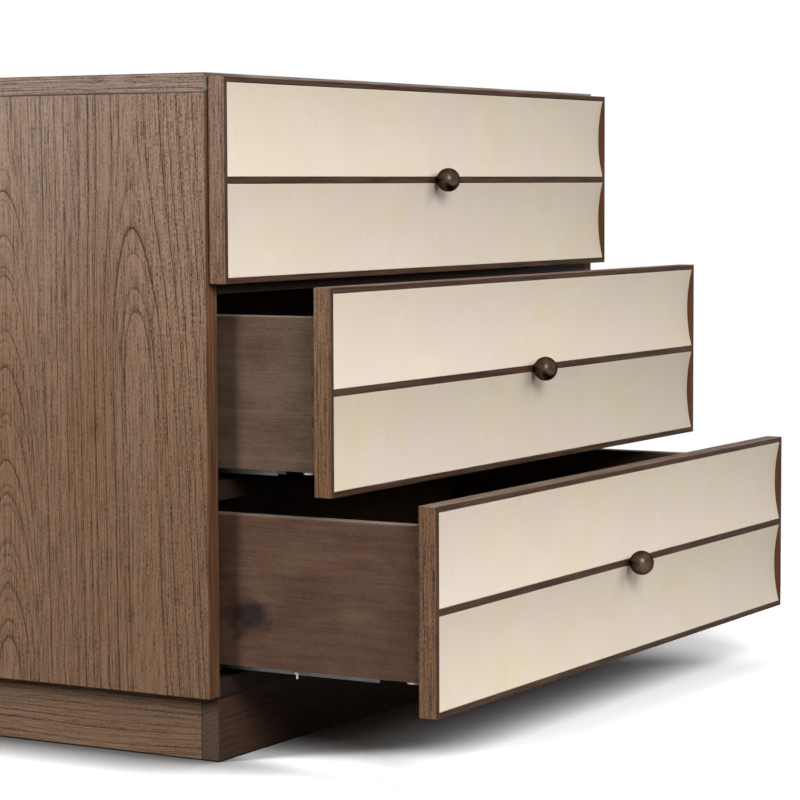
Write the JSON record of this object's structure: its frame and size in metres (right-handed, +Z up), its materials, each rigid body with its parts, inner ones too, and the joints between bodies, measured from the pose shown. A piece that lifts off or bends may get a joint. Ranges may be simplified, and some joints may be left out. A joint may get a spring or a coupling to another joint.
{
  "type": "nightstand with drawers",
  "caption": "Wooden nightstand on a recessed plinth: scooped cream drawer fronts in thin dark frames, ball knobs, dovetailed boxes on telescopic runners.",
  "frame": {"origin": "on the floor, under the middle of the bounding box with the drawers as stored", "axes": "+X along the width, to the right of someone facing the fronts; -Y out of the drawer fronts; +Z up"},
  "size_m": [0.8, 0.7044, 0.644],
  "materials": {
    "brown_wood": "open grain, matt lacquer",
    "back_plywood": "plain veneered plywood",
    "frame_wood": "dark stained, satin",
    "front_core_wood": "veneered board",
    "cream_parchment": "smooth parchment, softly mottled",
    "dark_bronze": "dark bronze, satin",
    "box_wood": "stained, matt lacquer",
    "box_bottom_plywood": "stained plywood",
    "zinc_steel": "zinc plated sheet"
  },
  "bodies": {
    "cabinet": {"left_side": "brown_wood", "right_side": "brown_wood", "top_board": "brown_wood", "bottom_board": "brown_wood", "back_panel": "back_plywood", "upper_divider_rail": "brown_wood", "lower_divider_rail": "brown_wood", "plinth_front": "brown_wood", "plinth_back": "brown_wood", "plinth_left": "brown_wood", "plinth_right": "brown_wood", "top_drawer_runner_left_cabinet_member": "zinc_steel", "top_drawer_runner_right_cabinet_member": "zinc_steel", "middle_drawer_runner_left_cabinet_member": "zinc_steel", "middle_drawer_runner_right_cabinet_member": "zinc_steel", "bottom_drawer_runner_left_cabinet_member": "zinc_steel", "bottom_drawer_runner_right_cabinet_member": "zinc_steel"},
    "top_runner": {"top_drawer_runner_left_middle_member": "zinc_steel", "top_drawer_runner_right_middle_member": "zinc_steel"},
    "middle_runner": {"middle_drawer_runner_left_middle_member": "zinc_steel", "middle_drawer_runner_right_middle_member": "zinc_steel"},
    "bottom_runner": {"bottom_drawer_runner_left_middle_member": "zinc_steel", "bottom_drawer_runner_right_middle_member": "zinc_steel"},
    "top_drawer": {"top_drawer_front_frame": "frame_wood", "top_drawer_front_board": "front_core_wood", "top_drawer_upper_panel": "cream_parchment", "top_drawer_lower_panel": "cream_parchment", "top_drawer_knob": "dark_bronze", "top_drawer_box_left": "box_wood", "top_drawer_box_right": "box_wood", "top_drawer_box_front": "box_wood", "top_drawer_box_back": "box_wood", "top_drawer_box_bottom": "box_bottom_plywood", "top_drawer_runner_left_drawer_member": "zinc_steel", "top_drawer_runner_right_drawer_member": "zinc_steel"},
    "middle_drawer": {"middle_drawer_front_frame": "frame_wood", "middle_drawer_front_board": "front_core_wood", "middle_drawer_upper_panel": "cream_parchment", "middle_drawer_lower_panel": "cream_parchment", "middle_drawer_knob": "dark_bronze", "middle_drawer_box_left": "box_wood", "middle_drawer_box_right": "box_wood", "middle_drawer_box_front": "box_wood", "middle_drawer_box_back": "box_wood", "middle_drawer_box_bottom": "box_bottom_plywood", "middle_drawer_runner_left_drawer_member": "zinc_steel", "middle_drawer_runner_right_drawer_member": "zinc_steel"},
    "bottom_drawer": {"bottom_drawer_front_frame": "frame_wood", "bottom_drawer_front_board": "front_core_wood", "bottom_drawer_upper_panel": "cream_parchment", "bottom_drawer_lower_panel": "cream_parchment", "bottom_drawer_knob": "dark_bronze", "bottom_drawer_box_left": "box_wood", "bottom_drawer_box_right": "box_wood", "bottom_drawer_box_front": "box_wood", "bottom_drawer_box_back": "box_wood", "bottom_drawer_box_bottom": "box_bottom_plywood", "bottom_drawer_runner_left_drawer_member": "zinc_steel", "bottom_drawer_runner_right_drawer_member": "zinc_steel"}
  },
  "joints": [
    {"name": "top_drawer_slide", "type": "slide", "parent": "cabinet", "child": "top_drawer", "axis": [0, -1, 0], "range_m": [0, 0.34]},
    {"name": "top_runner_slide", "type": "slide", "parent": "cabinet", "child": "top_runner", "axis": [0, -1, 0], "range_m": [0, 0.17]},
    {"name": "middle_drawer_slide", "type": "slide", "parent": "cabinet", "child": "middle_drawer", "axis": [0, -1, 0], "range_m": [-0.1127, 0.2273]},
    {"name": "middle_runner_slide", "type": "slide", "parent": "cabinet", "child": "middle_runner", "axis": [0, -1, 0], "range_m": [-0.05635, 0.11365]},
    {"name": "bottom_drawer_slide", "type": "slide", "parent": "cabinet", "child": "bottom_drawer", "axis": [0, -1, 0], "range_m": [-0.2211, 0.1189]},
    {"name": "bottom_runner_slide", "type": "slide", "parent": "cabinet", "child": "bottom_runner", "axis": [0, -1, 0], "range_m": [-0.11055, 0.05945]}
  ],
  "couplings": [
    {"joint": "top_runner_slide", "follows": "top_drawer_slide", "ratio": 0.5},
    {"joint": "middle_runner_slide", "follows": "middle_drawer_slide", "ratio": 0.5},
    {"joint": "bottom_runner_slide", "follows": "bottom_drawer_slide", "ratio": 0.5}
  ]
}
